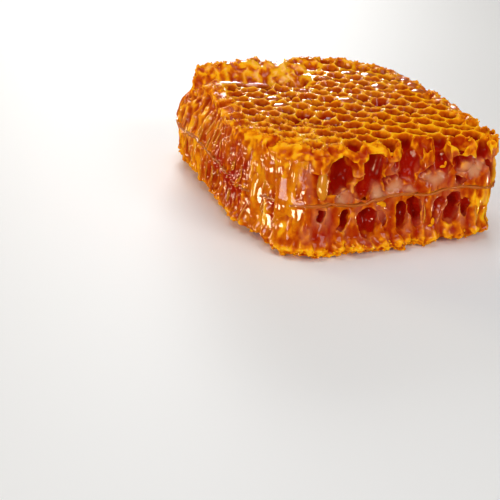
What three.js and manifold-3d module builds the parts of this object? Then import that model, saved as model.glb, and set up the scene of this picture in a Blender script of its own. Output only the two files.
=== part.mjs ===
// A piece of cut honeycomb: two layers of six-sided wax cells full of honey, back to back on a thin
// wavy midrib. The knife has opened the cells along the edges, so the sides show tall recesses
// between wax walls, and the wax stands out as a lip above and a fringe below them.
// Millimetres, +Z up. The origin is under the middle of the piece, on the surface it lies on.

import * as THREE from 'three';
import { mergeVertices } from 'three/addons/utils/BufferGeometryUtils.js';
import Module from 'manifold-3d';

const wasm = await Module();
wasm.setup();

// ---- Driving dimensions ---------------------------------------------------------------------

const slabHeight = 27;
const cellPitch = 5.4;            // from one cell's middle to the next
const cellMouth = 2.55;           // radius to the corners of a cell's mouth
const cellThroat = 1.9;           // the same where the honey starts
const honeyLevel = 2.4;           // how far the honey lies below the rims
const honeyLevelSpread = 0.9;
const latticeTurn = THREE.MathUtils.degToRad(-2);
const latticeStart = new THREE.Vector2(32.9, 12.9);   // the middle of one cell of the upper layer
const layerShift = cellPitch / Math.sqrt(3);          // the lower cells meet the upper ones' corners

const midribThickness = 0.9;
const midribGap = 0.3;
const midribProud = 0.5;          // how far the midrib stands out of the cut sides
const midribLeft = 12.4;          // its height at the left side and at the right side
const midribRight = 14.4;

// The cut edge seen from above, anticlockwise from the near corner at (0, 0).
const cutEdge = [
  [0.4, 0.2], [13, -0.6], [27, 0.1], [40, -0.3], [51.6, 0.2], [53.4, 2.6],
  [53, 17.5], [52.3, 28], [50.6, 41.5], [48.2, 56], [45.2, 64.4], [37.6, 70.6],
  [19, 73.6], [-2, 74], [-8.2, 71.4], [-9, 56], [-10.2, 36], [-10.9, 18.4], [-8.8, 13],
];
const edgeSteps = 62;
const edgeLevels = [0, 0.1, 0.28, 0.5, 0.74, 1];   // shares of the slab's height

const cutReach = 2.2;             // cells whose middle lies this far outside are still cut open
const rimReach = 3.1;             // cells whose middle lies this far inside have their whole rim
const cutOpening = 1.1;           // a cut cell's middle lies at most this far inside the cut
const cutRadius = 2.5;
const lipHeight = 2.4;            // wax left over a cut cell
const fringeHeight = 2.0;         // wax left under one
const cappedCellReach = 4;        // cells this near the middle of the underside are capped flat
const smearedCorner = new THREE.Vector2(-5, 6);   // wax is smeared over the cells near here
const smearReach = 7.5;

// ---- Small helpers --------------------------------------------------------------------------

function seededRandom(seed) {
  let state = seed;
  return () => {
    state = (state * 1664525 + 1013904223) % 4294967296;
    return state / 4294967296;
  };
}

const smooth = (value) => THREE.MathUtils.smoothstep(value, 0, 1);
const hill = (distance, width) => Math.exp(-((distance / width) ** 2));

// A closed three.js geometry as a solid that can be cut and joined.
function toSolid(geometry) {
  geometry.deleteAttribute('normal');
  geometry.deleteAttribute('uv');
  const merged = mergeVertices(geometry, 1e-4);
  const corners = merged.index.array;
  const triangles = [];
  for (let i = 0; i < corners.length; i += 3) {
    const [a, b, c] = corners.slice(i, i + 3);
    if (a !== b && b !== c && c !== a) triangles.push(a, b, c);
  }
  return new wasm.Manifold(new wasm.Mesh({
    numProp: 3,
    vertProperties: new Float32Array(merged.attributes.position.array),
    triVerts: new Uint32Array(triangles),
  }));
}

// A solid as a geometry again, each corner moved by shape(point). Scraps that the cuts have
// parted from the solid are dropped.
function toGeometry(solid, shape) {
  const [largest] = solid.decompose().sort((a, b) => b.volume() - a.volume());
  const mesh = largest.getMesh();
  const positions = new THREE.Float32BufferAttribute(mesh.vertProperties, 3);
  const point = new THREE.Vector3();
  for (let i = 0; i < positions.count; i++) {
    point.fromBufferAttribute(positions, i);
    shape(point);
    positions.setXYZ(i, point.x, point.y, point.z);
  }
  const geometry = new THREE.BufferGeometry();
  geometry.setAttribute('position', positions);
  geometry.setIndex(new THREE.Uint32BufferAttribute(mesh.triVerts, 1));
  geometry.computeVertexNormals();
  return geometry;
}

// ---- The cut outline ------------------------------------------------------------------------

const edgeCurve = new THREE.CatmullRomCurve3(
  cutEdge.map(([x, y]) => new THREE.Vector3(x, y, 0)), true, 'centripetal');
const edgeLoop = edgeCurve.getSpacedPoints(edgeSteps).slice(0, edgeSteps);
const slabMiddle = new THREE.Vector2(21, 36);
const farAway = 60;               // past every side of the slab, measured from its middle

function edgeNormal(index) {
  const before = edgeLoop[(index + edgeSteps - 1) % edgeSteps];
  const after = edgeLoop[(index + 1) % edgeSteps];
  return new THREE.Vector2(after.y - before.y, before.x - after.x).normalize();
}

// Millimetres inside the cut edge, negative outside.
function insideCut(x, y) {
  let nearest = Infinity;
  let inside = false;
  const point = new THREE.Vector3(x, y, 0);
  const onEdge = new THREE.Vector3();
  const side = new THREE.Line3();
  for (let i = 0; i < edgeSteps; i++) {
    const a = edgeLoop[i];
    const b = edgeLoop[(i + 1) % edgeSteps];
    side.set(a, b).closestPointToPoint(point, true, onEdge);
    nearest = Math.min(nearest, onEdge.distanceTo(point));
    const crosses = (a.y > y) !== (b.y > y);
    if (crosses && x < a.x + ((b.x - a.x) * (y - a.y)) / (b.y - a.y)) inside = !inside;
  }
  return inside ? nearest : -nearest;
}

function outwardAt(x, y) {
  const step = 0.5;
  return new THREE.Vector2(
    insideCut(x - step, y) - insideCut(x + step, y),
    insideCut(x, y - step) - insideCut(x, y + step)).normalize();
}

// How far the side stands out of the cut edge at a share of the height: it leans out towards the
// foot, swells on the left, and ends in a ragged fringe that is drawn in where it lies.
function sideSwell(point, share) {
  const ragged = Math.sin(point.x * 1.3 + point.y * 0.9) * Math.sin(point.x * 0.37 - point.y * 1.7);
  const left = smooth((2 - point.x) / 10);
  const back = smooth((point.y - 20) / 35);
  const front = smooth((9 - point.y) / 8) * smooth((48 - point.x) / 26);
  const right = smooth((point.x - 46) / 6);
  const swell = left * back * 3.6 * Math.sin(Math.PI * Math.min(share * 1.15, 1));
  const waist = left * (1 - back) * 1.8 * (1 - share);
  const foot = front * 3.6 * (1 - share) ** 2;
  const cutBack = right * 1.4 * (1 - share) ** 2;
  const lean = 1.1 * (1 - share);
  const fringe = 0.9 * hill(share - 0.1, 0.07) * (1 + ragged);
  const drawnIn = 1.6 * hill(share, 0.04);
  return lean + swell - waist + foot - cutBack + fringe - drawnIn + 0.3 * ragged;
}

// ---- Solids that the pieces are cut from ----------------------------------------------------

// The whole slab, with its cut side grown by a margin.
function slabBlock(margin) {
  const levels = edgeLevels.length - 1;
  const block = new THREE.CylinderGeometry(1, 1, levels, edgeSteps, levels);
  block.rotateX(Math.PI / 2);
  const corners = block.attributes.position;
  const point = new THREE.Vector3();
  for (let i = 0; i < corners.count; i++) {
    point.fromBufferAttribute(corners, i);
    const level = Math.round(point.z + levels / 2);
    const share = edgeLevels[level];
    const z = share * slabHeight;
    if (Math.hypot(point.x, point.y) < 0.5) {
      corners.setXYZ(i, slabMiddle.x, slabMiddle.y, z);
      continue;
    }
    const turn = Math.atan2(point.y, point.x) / (2 * Math.PI) + 1;
    const index = Math.round(turn * edgeSteps) % edgeSteps;
    const onEdge = edgeLoop[index];
    const out = edgeNormal(index).multiplyScalar(sideSwell(onEdge, share) + margin);
    corners.setXYZ(i, onEdge.x + out.x, onEdge.y + out.y, z);
  }
  return toSolid(block);
}

function midribHeight(x, y) {
  const across = (x + 12) / 66;
  const wave = 0.55 * Math.sin(x * 0.33 + y * 0.11) + 0.35 * Math.sin(y * 0.27 - x * 0.13);
  return THREE.MathUtils.lerp(midribLeft, midribRight, across) + wave;
}

// Everything between two heights, each measured from the midrib's wavy middle surface.
function layerBetween(low, high) {
  const size = 2 * farAway;
  const waves = 11;
  const layer = new THREE.BoxGeometry(size, size, 1, waves, waves, 1);
  layer.translate(slabMiddle.x, slabMiddle.y, 0);
  const corners = layer.attributes.position;
  for (let i = 0; i < corners.count; i++) {
    const height = corners.getZ(i) < 0 ? low : high;
    corners.setZ(i, midribHeight(corners.getX(i), corners.getY(i)) + height);
  }
  return toSolid(layer);
}

// A six-sided tool from a profile of [radius, height] pairs, starting and ending on the axis.
function hexTool(profile, x, y, turn) {
  const tool = new THREE.LatheGeometry(profile.map(([r, z]) => new THREE.Vector2(r, z)), 6);
  tool.rotateX(Math.PI / 2);
  tool.rotateZ(turn);
  tool.translate(x, y, 0);
  return tool;
}

// ---- The cells ------------------------------------------------------------------------------

function latticeCells(shift) {
  const cells = [];
  const reach = 16;
  for (let column = -reach; column <= reach; column++) {
    for (let row = -reach; row <= reach; row++) {
      const place = new THREE.Vector2(
        column * cellPitch * Math.sin(Math.PI / 3) + shift,
        (row + (column & 1) / 2) * cellPitch);
      place.rotateAround(new THREE.Vector2(), latticeTurn).add(latticeStart);
      const inside = insideCut(place.x, place.y);
      const smeared = inside < rimReach && place.distanceTo(smearedCorner) < smearReach;
      if (inside > -cutReach && !smeared) cells.push({ x: place.x, y: place.y, inside });
    }
  }
  return cells;
}

// A cell with its whole rim, open from a face of the slab down to its honey. Underneath, the
// honey hangs in the cell with a hollow face instead of lying flat.
function openCell(cell, random, face, down) {
  const size = 0.94 + 0.12 * random();
  const depth = honeyLevel + honeyLevelSpread * (2 * random() - 1);
  const mouth = cellMouth * size;
  const honey = down > 0 ? [[0, depth], [cellThroat * size, depth]] : [[0, depth]];
  const outline = [...honey, [mouth, 0], [mouth, -1], [0, -1]];
  const profile = outline.map(([radius, z]) => [radius, face - down * z]);
  if (down < 0) profile.reverse();
  const x = cell.x + 0.5 * (random() - 0.5);
  const y = cell.y + 0.5 * (random() - 0.5);
  return toSolid(hexTool(profile, x, y, latticeTurn + Math.PI / 2 + 0.2 * (random() - 0.5)));
}

// A cell that the knife has opened along its length. It leans with the side that it opens to.
function cutCell(cell, random, low, high) {
  const outward = outwardAt(cell.x, cell.y);
  const move = Math.max(cell.inside - cutOpening, 0) + 0.4 * random();
  const radius = cutRadius * (0.9 + 0.15 * random());
  const body = high - 0.9 - low;
  const profile = [[0, low], [radius * 0.9, low + 0.3], [radius, low + body / 2],
    [radius, low + body], [0, high]];
  const tool = hexTool(profile, cell.x, cell.y, latticeTurn + Math.PI / 2);
  const corners = tool.attributes.position;
  for (let i = 0; i < corners.count; i++) {
    const share = THREE.MathUtils.clamp(corners.getZ(i) / slabHeight, 0.1, 1);
    const out = move + sideSwell(cell, share);
    corners.setX(i, corners.getX(i) + outward.x * out);
    corners.setY(i, corners.getY(i) + outward.y * out);
  }
  return toSolid(tool);
}

// ---- The shape of the upper face ------------------------------------------------------------

// The face falls away to the back and the right. Near the back left a trough has been pressed
// into the cells, in front of a torn ridge, and the back corner stands a little proud.
function faceHeight(x, y) {
  const fall = -0.6 * smooth((y - 30) / 44) - 0.5 * smooth((x - 26) / 30);
  const trough = new THREE.Line3(new THREE.Vector3(-14, 63, 0), new THREE.Vector3(17, 60, 0));
  const point = new THREE.Vector3(x, y, 0);
  const onTrough = trough.closestPointToPoint(point, true, new THREE.Vector3());
  const pressed = -3.6 * hill(onTrough.distanceTo(point), 4.8);
  const ridge = 1.6 * hill(y - 71, 4) * smooth((36 - x) / 16);
  const torn = -1.1 * hill(Math.hypot(x - 31.4, y - 27.1), 3);
  const ripple = 0.35 * Math.sin(x * 0.42 + 1) * Math.sin(y * 0.31);
  return fall + pressed + ridge + torn + ripple;
}

function shapeUpper(point) {
  const share = smooth((point.z - 16.5) / (slabHeight - 19));
  point.z += share * faceHeight(point.x, point.y);
}

// ---- The pieces -----------------------------------------------------------------------------

function buildUpperCells() {
  const random = seededRandom(7);
  const below = layerBetween(-farAway, midribThickness / 2 + midribGap);
  let wax = slabBlock(0).subtract(below);
  for (const cell of latticeCells(0)) {
    if (cell.inside > rimReach) {
      wax = wax.subtract(openCell(cell, random, slabHeight, 1));
      continue;
    }
    const low = midribHeight(cell.x, cell.y) + 1.2 + 0.8 * random();
    const lipped = random() < 0.6;
    const high = lipped ? slabHeight - lipHeight + random() : slabHeight + 2;
    wax = wax.subtract(cutCell(cell, random, low, high));
  }
  return toGeometry(wax, shapeUpper);
}

function buildLowerCells() {
  const random = seededRandom(23);
  const above = layerBetween(-midribThickness / 2 - midribGap, farAway);
  let wax = slabBlock(0).subtract(above);
  for (const cell of latticeCells(layerShift)) {
    if (cell.inside > rimReach + 0.6) {
      const capped = Math.hypot(cell.x - slabMiddle.x, cell.y - slabMiddle.y) < cappedCellReach;
      if (!capped) wax = wax.subtract(openCell(cell, random, 0, -1));
      continue;
    }
    const high = midribHeight(cell.x, cell.y) - 1.2 - 0.8 * random();
    const fringed = random() < 0.75;
    const low = fringed ? fringeHeight + 0.8 * random() : -2;
    wax = wax.subtract(cutCell(cell, random, low, high));
  }
  return toGeometry(wax, () => {});
}

function buildMidrib() {
  const sheet = layerBetween(-midribThickness / 2, midribThickness / 2);
  return toGeometry(slabBlock(midribProud).intersect(sheet), () => {});
}

function waxMaterial(color) {
  return new THREE.MeshStandardMaterial({ color, roughness: 0.3, metalness: 0 });
}

const honeycomb = new THREE.Group();
const pieces = [
  ['upper_cells', buildUpperCells(), '#e39a1c'],
  ['midrib', buildMidrib(), '#a9621a'],
  ['lower_cells', buildLowerCells(), '#d8861a'],
];
for (const [name, geometry, color] of pieces) {
  const mesh = new THREE.Mesh(geometry, waxMaterial(color));
  mesh.name = name;
  honeycomb.add(mesh);
}

const bounds = new THREE.Box3().setFromObject(honeycomb);
const middle = bounds.getCenter(new THREE.Vector3());
honeycomb.position.set(-middle.x, -middle.y, -bounds.min.z);
honeycomb.updateMatrixWorld(true);

export default honeycomb;
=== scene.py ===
import math
import random
from types import SimpleNamespace

import bpy
import numpy as np
from mathutils import Matrix, Vector


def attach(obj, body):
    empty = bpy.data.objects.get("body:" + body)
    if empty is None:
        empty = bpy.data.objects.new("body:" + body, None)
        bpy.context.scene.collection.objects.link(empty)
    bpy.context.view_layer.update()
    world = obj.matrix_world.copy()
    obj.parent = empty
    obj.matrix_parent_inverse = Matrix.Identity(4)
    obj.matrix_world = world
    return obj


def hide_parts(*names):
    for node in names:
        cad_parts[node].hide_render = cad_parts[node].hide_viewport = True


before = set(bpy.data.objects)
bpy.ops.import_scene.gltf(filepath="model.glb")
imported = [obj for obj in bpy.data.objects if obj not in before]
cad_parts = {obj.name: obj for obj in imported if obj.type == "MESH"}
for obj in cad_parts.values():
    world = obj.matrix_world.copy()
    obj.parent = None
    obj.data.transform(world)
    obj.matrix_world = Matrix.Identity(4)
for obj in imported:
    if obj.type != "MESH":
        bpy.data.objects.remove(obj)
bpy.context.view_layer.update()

# Everything is modelled in millimetres from the slab's near corner, then scaled to metres.
mm = 0.001

slab = {
    "height": 27.0,
    "corner": (-20.37, -35.46),  # the near corner, from the frame's origin
    "cutEdge": [  # the knife's path seen from above, from the near corner
        (0.4, 0.2), (13, -0.6), (27, 0.1), (40, -0.3), (51.6, 0.2), (53.4, 2.6),
        (53, 17.5), (52.6, 28), (51.7, 41.5), (50.2, 55), (46.6, 64.6), (38.2, 70.6),
        (19, 73.6), (-2, 74), (-8.2, 71.4), (-9, 56), (-10.2, 36), (-10.9, 18.4), (-8.8, 13),
    ],
    "edgeSteps": 240,
    "midribLeft": 12.4,  # the midrib's height at the left and at the right side
    "midribRight": 14.4,
    "streakLean": 0.45,  # how far streaks on the left side lean to the front
}
top = slab["height"]

lattice = {
    "pitch": 5.4,  # one cell's middle to the next
    "turn": math.radians(-2),
    "start": (32.9, 12.9),  # one cell's middle in the upper layer
    "cutReach": 2.3,  # cells this far outside the cut are opened too
    "rimReach": {"upper": 1.7, "lower": 2.5},  # cells this far inside stay whole
    "opening": 0.6,  # how far inside an opened cell's middle may lie
    "smearedCorner": (-5, 6),  # wax is smeared over the cells near here
    "smearReach": 7.5,
    "smearFade": (5, 13),
}
lattice["layerShift"] = lattice["pitch"] / math.sqrt(3)

relief = {  # amount, size and seed of the soft bumps on each part of the wax
    "streaks": [(0.35, (1.3, 1.3, 8), 3), (0.16, (0.7, 0.7, 4), 4)],
    "folds": [(1.1, (3.6, 3.6, 7), 14), (0.3, (1.5, 1.5, 4), 15)],  # at the smeared corner
    "crushed": [(0.9, 1.8, 29), (0.5, 0.9, 30)],  # by the midrib on the left side
    "ends": [(0.5, 2.2, 6), (0.3, 0.9, 7)],  # of the sides, towards the foot and the top
    "foot": [(0.8, (2.6, 2.6, 3), 22), (0.8, (5, 5, 6), 57)],
    "tornAside": [(0.5, (1.6, 1.6, 2.2), 44), (0.22, (0.8, 0.8, 1), 45)],
    "tornUp": [(0.45, (1.8, 1.8, 1.6), 46), (0.2, (0.8, 0.8, 0.8), 47)],
    "crest": [(0.3, 3.2, 8), (0.08, 1.1, 9)],
    "crumple": [(0.45, 3.2, 17), (0.55, 1.5, 18), (0.22, 0.8, 35)],
    "crumpleAside": [(0.7, (1.7, 3, 1.7), 36), (0.35, 0.8, 37)],
    "filmEdge": [(1, (2.2, 50, 2.0), 55), (0.5, (0.9, 50, 0.9), 56)],
    "midribEdge": [(0.3, 2.5, 31), (0.15, 0.9, 32)],
}


def pickNothing():
    if bpy.context.object and bpy.context.object.mode != "OBJECT":
        bpy.ops.object.mode_set(mode="OBJECT")
    bpy.ops.object.select_all(action="DESELECT")


def pick(thing):
    pickNothing()
    thing.select_set(True)
    bpy.context.view_layer.objects.active = thing


def added(primitive, name="tool", **settings):
    pickNothing()
    primitive(**settings)
    bpy.context.object.name = name
    return bpy.context.object


def edit(action="SELECT"):
    # all of the active mesh, or nothing, is selected
    bpy.ops.object.mode_set(mode="EDIT")
    bpy.ops.mesh.select_all(action=action)


def stopEdit():
    bpy.ops.object.mode_set(mode="OBJECT")


def useModifier(thing, kind, **settings):
    pick(thing)
    modifier = thing.modifiers.new(kind.title(), kind)
    for name, value in settings.items():
        setattr(modifier, name, value)
    bpy.ops.object.modifier_apply(modifier=modifier.name)


def readAll(rows, name):
    found = np.empty(len(rows) * 3)
    rows.foreach_get(name, found)
    return found.reshape(-1, 3)


def pointsOf(thing):
    return readAll(thing.data.vertices, "co")


def movePoints(thing, places):
    thing.data.vertices.foreach_set("co", np.asarray(places, dtype=np.float32).ravel())
    thing.data.update()


def paintPoints(thing, **layers):
    for name, values in layers.items():
        layer = thing.data.attributes.new(name, "FLOAT", "POINT")
        values = np.broadcast_to(values, len(thing.data.vertices))
        layer.data.foreach_set("value", values.astype(np.float32))


def smooth(low, high, value):
    share = np.clip((value - low) / (high - low), 0, 1)
    return share * share * (3 - 2 * share)


def fade(low, high, value):
    return 1 - smooth(low, high, value)


def hill(distance, width):
    return np.exp(-((distance / width) ** 2))


def nearest(places, x, y):
    return places[np.argmin(np.hypot(places[:, 0] - x, places[:, 1] - y))]


def lumps(places, size, seed):
    # soft random bumps from -1 to 1, of a size or a size along each axis
    scaled = places / np.asarray(size, dtype=float)
    cell = np.floor(scaled).astype(np.int64)
    share = scaled - cell
    share = share * share * (3 - 2 * share)
    total = np.zeros(len(places))
    for corner in range(8):
        step = np.array([corner & 1, (corner >> 1) & 1, corner >> 2])
        key = (cell + step) @ np.array([73856093, 19349663, 83492791]) + seed * 2654435
        key = (key ^ (key >> 13)) * 1274126177 & 0xFFFFFFFF
        value = ((key ^ (key >> 16)) & 0xFFFF) / 32767.5 - 1
        total += value * np.prod(np.where(step, share, 1 - share), axis=1)
    return total


def bumps(kind, places, gain=0, base=0):
    return sum(((amount + amount * gain) * lumps(places, size, seed)
                for amount, size, seed in relief[kind]), base)


def bent(places, size, seeds):
    return np.stack([lumps(places, size, seed) for seed in seeds], axis=1)


def wobble(thing, moves):
    spots = pointsOf(thing)
    for axis, reach, size, seed in moves:
        spots[:, axis] += reach * lumps(spots, size, seed)
    movePoints(thing, spots)


def placing(place, sizes, *turns):
    # the matrix that sizes, turns and then moves a copy
    matrix = Matrix.Translation(place)
    for turn in turns:
        matrix = matrix @ turn
    return matrix @ Matrix.Diagonal((*sizes, 1))


def copiesOf(model, name, matrices):
    # one mesh of many moved copies of a model, which is then removed
    base = np.c_[pointsOf(model), np.ones(len(model.data.vertices))]
    faces = [tuple(face.vertices) for face in model.data.polygons]
    places = np.vstack([(base @ np.array(matrix).T)[:, :3] for matrix in matrices])
    allFaces = [tuple(corner + turn * len(base) for corner in face)
                for turn in range(len(matrices)) for face in faces]
    mesh = bpy.data.meshes.new(name)
    mesh.from_pydata(places.tolist(), [], allFaces)
    thing = bpy.data.objects.new(name, mesh)
    bpy.context.collection.objects.link(thing)
    bpy.data.objects.remove(model)
    return thing


def toMetres(thing, material, body="root"):
    # puts a finished piece in the frame
    thing.data.materials.append(material)
    corner = Vector((*slab["corner"], 0))
    thing.data.transform(Matrix.Scale(mm, 4) @ Matrix.Translation(corner))
    pick(thing)
    bpy.ops.object.shade_smooth()
    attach(thing, body)


def pathAt(steps, along, places):
    return np.stack([np.interp(steps, along, places[:, axis]) for axis in (0, 1)], axis=1)


def traceEdge():
    bpy.ops.curve.primitive_bezier_circle_add(radius=1)
    path = bpy.context.object
    knots = path.data.splines[0].bezier_points
    knots.add(len(slab["cutEdge"]) - len(knots))
    for knot, place in zip(knots, slab["cutEdge"]):
        knot.co = (*place, 0)
        knot.handle_left_type = knot.handle_right_type = "AUTO"
    path.data.resolution_u = 16
    bpy.ops.object.convert(target="MESH")
    path = bpy.context.object
    traced = pointsOf(path)[:, :2]
    bpy.data.objects.remove(path)
    closed = np.vstack([traced, traced[:1]])
    along = np.r_[0, np.cumsum(np.linalg.norm(np.diff(closed, axis=0), axis=1))]
    return pathAt(np.linspace(0, along[-1], slab["edgeSteps"], endpoint=False), along, closed)


def distanceMap(edge):
    # millimetres inside the cut edge on a grid, negative outside
    low, step, counts = np.array([-30.0, -25.0]), 0.5, (220, 260)
    spots = low + step * np.indices(counts).reshape(2, -1).T
    gaps = np.full(len(spots), 1e9)
    inside = np.zeros(len(spots), dtype=bool)
    for a, b in zip(edge, np.roll(edge, -1, axis=0)):
        along = np.clip(((spots - a) @ (b - a)) / ((b - a) @ (b - a)), 0, 1)
        gaps = np.minimum(gaps, np.linalg.norm(spots - a - along[:, None] * (b - a), axis=1))
        crosses = (a[1] > spots[:, 1]) != (b[1] > spots[:, 1])
        reach = a[0] + (b[0] - a[0]) * (spots[:, 1] - a[1]) / (b[1] - a[1] + 1e-12)
        inside ^= crosses & (spots[:, 0] < reach)
    signed = np.where(inside, gaps, -gaps).reshape(counts)
    slopes = np.gradient(signed, step)
    return {"low": low, "step": step, "inside": signed, "slopeX": slopes[0], "slopeY": slopes[1]}


edgeLoop = traceEdge()
edgeMap = distanceMap(edgeLoop)


def edgeAt(turns):
    # places on the cut edge, so many steps round it
    closed = np.vstack([edgeLoop, edgeLoop[:1]])
    return pathAt(turns % slab["edgeSteps"], np.arange(len(closed)), closed)


def stepsRound(spots):
    return np.arctan2(spots[:, 1], spots[:, 0]) / (2 * math.pi) * slab["edgeSteps"]


def readMap(layer, x, y):
    grid = edgeMap[layer]
    (i, u), (j, v) = [
        np.divmod(np.clip((np.asarray(way) - low) / edgeMap["step"], 0, size - 2), 1)
        for way, low, size in zip((x, y), edgeMap["low"], grid.shape)]
    i, j = i.astype(int), j.astype(int)
    return ((grid[i, j] * (1 - u) + grid[i + 1, j] * u) * (1 - v)
            + (grid[i, j + 1] * (1 - u) + grid[i + 1, j + 1] * u) * v)


def outwardAt(x, y):
    out = -np.stack([readMap("slopeX", x, y), readMap("slopeY", x, y)], axis=-1)
    return out / (np.linalg.norm(out, axis=-1, keepdims=True) + 1e-9)


def toCorner(x, y):
    return np.hypot(x - lattice["smearedCorner"][0], y - lattice["smearedCorner"][1])


sides = {  # how far the sides stand out of the cut edge
    "lean": 1.1,  # everywhere, more and more towards the foot
    "bulge": 3.6,  # of the left side, at the back
    "waist": 1.8,  # of the left side, drawn in at the front
    "foot": 3.6,  # of the front
    "cutBack": 1.4,  # of the right side's foot, and twice that at the front
    "fringe": 0.9,  # the ragged frill just over the foot
    "drawnIn": 1.6,  # the edge that the slab lies on
    "ragged": 0.3,
}


def sideSwell(x, y, share):
    ragged = np.sin(x * 1.3 + y * 0.9) * np.sin(x * 0.37 - y * 1.7)
    left = smooth(0, 10, 2 - x)
    back = smooth(20, 55, y)
    front = smooth(0, 8, 9 - y) * smooth(0, 26, 48 - x)
    right = smooth(46, 52, x)
    swell = left * back * sides["bulge"] * np.sin(np.pi * np.minimum(share * 1.15, 1))
    waist = left * (1 - back) * sides["waist"] * (1 - share)
    foot = front * sides["foot"] * (1 - share) ** 2
    cutBack = right * (sides["cutBack"] + sides["cutBack"] * fade(8, 24, y)) * (1 - share) ** 2
    fringe = sides["fringe"] * hill(share - 0.1, 0.07) * (1 + ragged)
    drawnIn = sides["drawnIn"] * hill(share, 0.04)
    return (sides["lean"] * (1 - share) + swell - waist + foot - cutBack + fringe - drawnIn
            + sides["ragged"] * ragged)


def midribHeight(x, y):
    across = (x + 12) / 66
    wave = 0.55 * np.sin(x * 0.33 + y * 0.11) + 0.35 * np.sin(y * 0.27 - x * 0.13)
    return slab["midribLeft"] + (slab["midribRight"] - slab["midribLeft"]) * across + wave


upperFace = {
    "backFall": 0.6,
    "rightFall": 0.5,
    # start, end, height and half width
    "trough": ((-8, 66), (16, 58), -5.4, 4.6),
    "ledge": ((-6, 58.6), (9, 50.6), 0.9, 1.5),
    "ridge": (71, 1.6, 4),  # how far back the torn ridge is, its height and half width
    "ripple": 0.3,
    # torn places: middle, reach and depth
    "torn": [(6.6, 23.5, 3.2, 1.3), (12.1, 19.7, 2.6, 1.0), (31.8, 31.0, 3.4, 1.3)],
}

crumple = {  # the back left of the upper face, where the cells are pressed shut
    "right": 26,
    "shut": 19,  # no cell shows to the left of this
    "near": 57,
    "size": (0.6, 0.8),  # of the cells that still show
    "depth": 0.45,
}


def alongLine(x, y, start, end, high, wide):
    # a soft ridge over a line seen from above
    a, b = np.array(start, dtype=float), np.array(end, dtype=float)
    offset = np.stack([x - a[0], y - a[1]], axis=-1)
    along = np.clip((offset @ (b - a)) / ((b - a) @ (b - a)), 0, 1)
    return high * hill(np.linalg.norm(offset - along[..., None] * (b - a), axis=-1), wide)


def tornAt(x, y):
    return sum(deep * hill(np.hypot(x - left, y - near), reach)
               for left, near, reach, deep in upperFace["torn"])


def faceHeight(x, y):
    # the upper face against the slab's height
    fall = -upperFace["backFall"] * smooth(30, 74, y) - upperFace["rightFall"] * smooth(26, 56, x)
    pressed = alongLine(x, y, *upperFace["trough"])
    ledge = alongLine(x, y, *upperFace["ledge"])
    back, high, wide = upperFace["ridge"]
    ridge = high * hill(y - back, wide) * smooth(0, 10, 46 - x)
    ripple = upperFace["ripple"] * np.sin(x * 0.42 + 1) * np.sin(y * 0.31)
    return fall + pressed + ledge + ridge + ripple - tornAt(x, y)


def isCrumpled(x, y):
    return x < crumple["right"] and y > crumple["near"] + 0.3 * max(0, 6 - x)


def crumpledAt(x, y):
    return smooth(0, 6, crumple["right"] - 1 - x) * smooth(0, 4, y - (crumple["near"] - 1))


def turned(x, y, angle):
    return x * math.cos(angle) - y * math.sin(angle), x * math.sin(angle) + y * math.cos(angle)


def latticeCells(shift=0):
    columns, rows = np.indices((33, 33)) - 16
    x = (columns * lattice["pitch"] * math.sin(math.pi / 3) + shift).ravel()
    y = ((rows + (columns % 2) / 2) * lattice["pitch"]).ravel()
    places = np.stack(turned(x, y, lattice["turn"]), axis=1) + lattice["start"]
    inside = readMap("inside", *places.T)
    kept = inside > -lattice["cutReach"]
    return places[kept], inside[kept]


def cellWave(x, y):
    # 1 in the middle of each upper cell, falling to -0.5 where three walls meet
    place = turned(x - lattice["start"][0], y - lattice["start"][1], -lattice["turn"])
    count = 4 * math.pi / (math.sqrt(3) * lattice["pitch"])
    return sum(np.cos(count * turned(*place, -math.radians(angle))[0]) for angle in (0, 60, 120)) / 3


bowl = {
    "mouth": 2.74,  # radius to the corners at the rim
    "above": 3.0,  # how far the tool reaches above the rim
    "steps": [(3.0, 1), (0.5, 0.93), (0.9, 0.92), (1.5, 0.84), (0.6, 0.5)],  # drops, narrowings
    "sizeSpread": 0.05,
    "shiftSpread": 0.3,
    "depth": (0.75, 1.2),
    "smearedReach": 15,  # cells this near the smeared corner are small and shallow
    "smearedSize": (0.72, 0.95),
    "smearedDepth": 0.6,
}

trench = {
    "radius": 2.5,
    "sizeSpread": 0.16,
    "deepening": 1.5,  # stretch towards the slab's middle
    "leftShift": 1.4,  # on the left side the cells are cut less deep
    "floorGap": 0.7,  # wax left over the midrib
    "fringe": (2.6, 5.2),  # wax left under an opened lower cell
    "ceiling": (0.8, 2.4),  # and over it, up to the midrib
    "roof": 2.4,  # wax left over an opened upper cell
    "bend": 0.6,
}

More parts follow.
